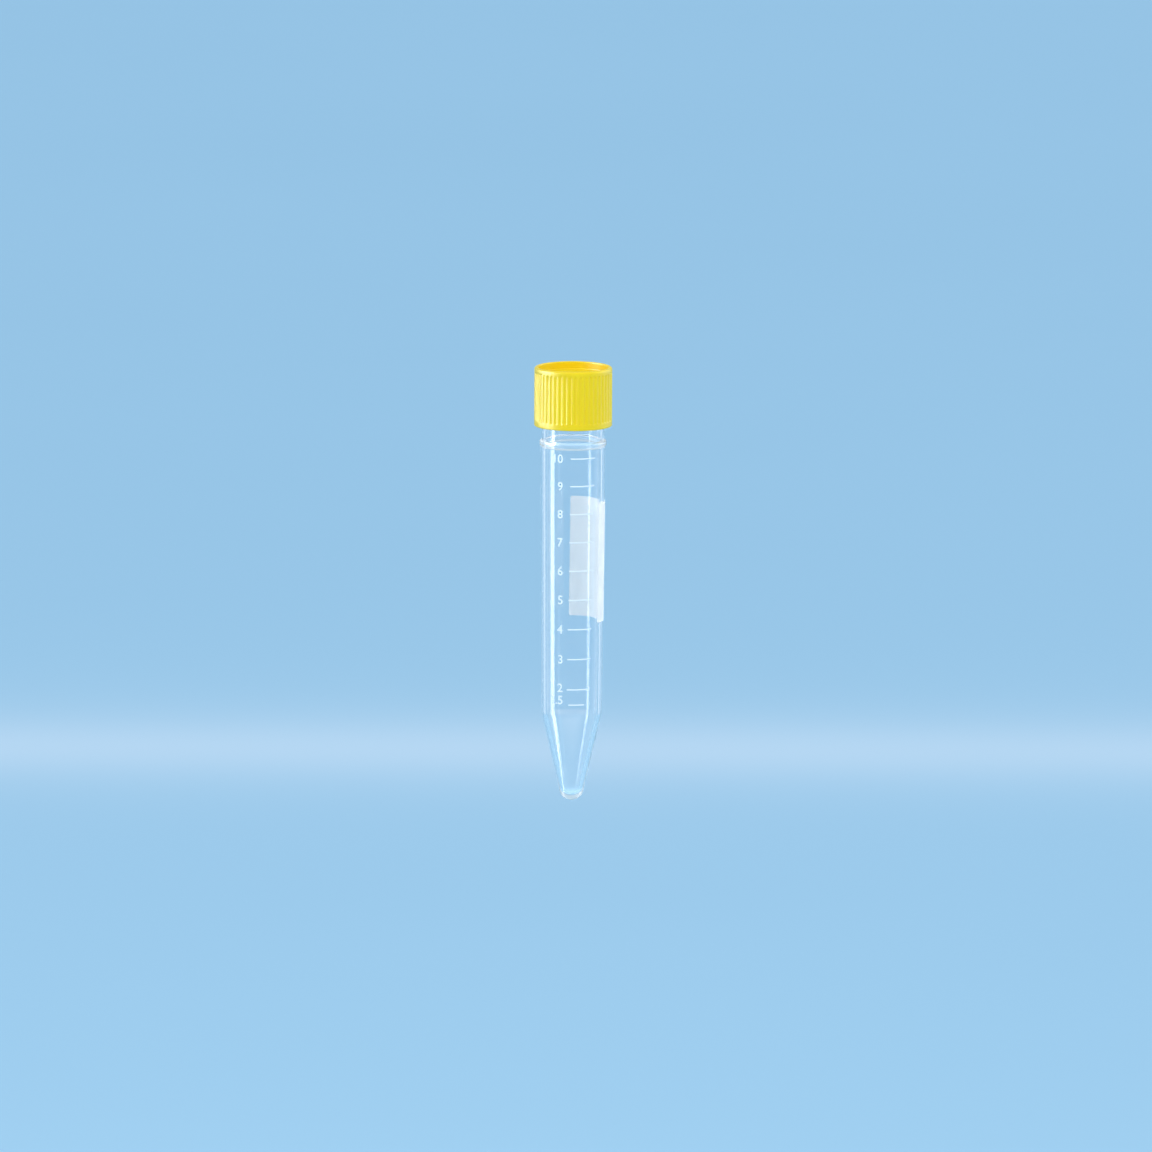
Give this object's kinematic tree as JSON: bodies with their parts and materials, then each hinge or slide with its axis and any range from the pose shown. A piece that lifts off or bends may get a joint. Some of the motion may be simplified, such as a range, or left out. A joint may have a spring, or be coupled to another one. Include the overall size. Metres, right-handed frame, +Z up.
{
  "type": "screw-cap test tube",
  "caption": "Clear conical-base graduated test tube with a ribbed yellow screw cap, a sealing liner, printed volume scale and white writing panel.",
  "frame": {"origin": "lowest point of the conical tip, on the tube's axis", "axes": "+Z up along the tube's axis; the volume scale faces -Y; +X is to the right of the scale, towards the writing panel"},
  "size_m": [0.0192, 0.0192, 0.1084],
  "materials": {
    "clear_plastic": "clear moulded polystyrene",
    "yellow_plastic": "satin moulded polyethylene",
    "liner_foam": "soft closed-cell polyethylene foam",
    "white_ink": "opaque white screen print",
    "panel_ink": "translucent matt white screen print"
  },
  "bodies": {
    "vessel": {"tube": "clear_plastic", "graduation_lines": "white_ink", "graduation_numerals": "white_ink", "writing_panel": "panel_ink"},
    "seal": {"sealing_liner": "liner_foam"},
    "cap": {"screw_cap": "yellow_plastic"}
  },
  "joints": [
    {"name": "cap_rise", "type": "slide", "parent": "vessel", "child": "seal", "axis": [0, 0, 1], "range_m": [0, 0.0181]},
    {"name": "cap_turn", "type": "hinge", "parent": "seal", "child": "cap", "pos_m": [0, 0, 0.1], "axis": [0, 0, 1], "range_deg": [0, 1080]}
  ],
  "couplings": [
    {"joint": "cap_rise", "follows": "cap_turn", "m_per_rad": 0.00095493}
  ]
}
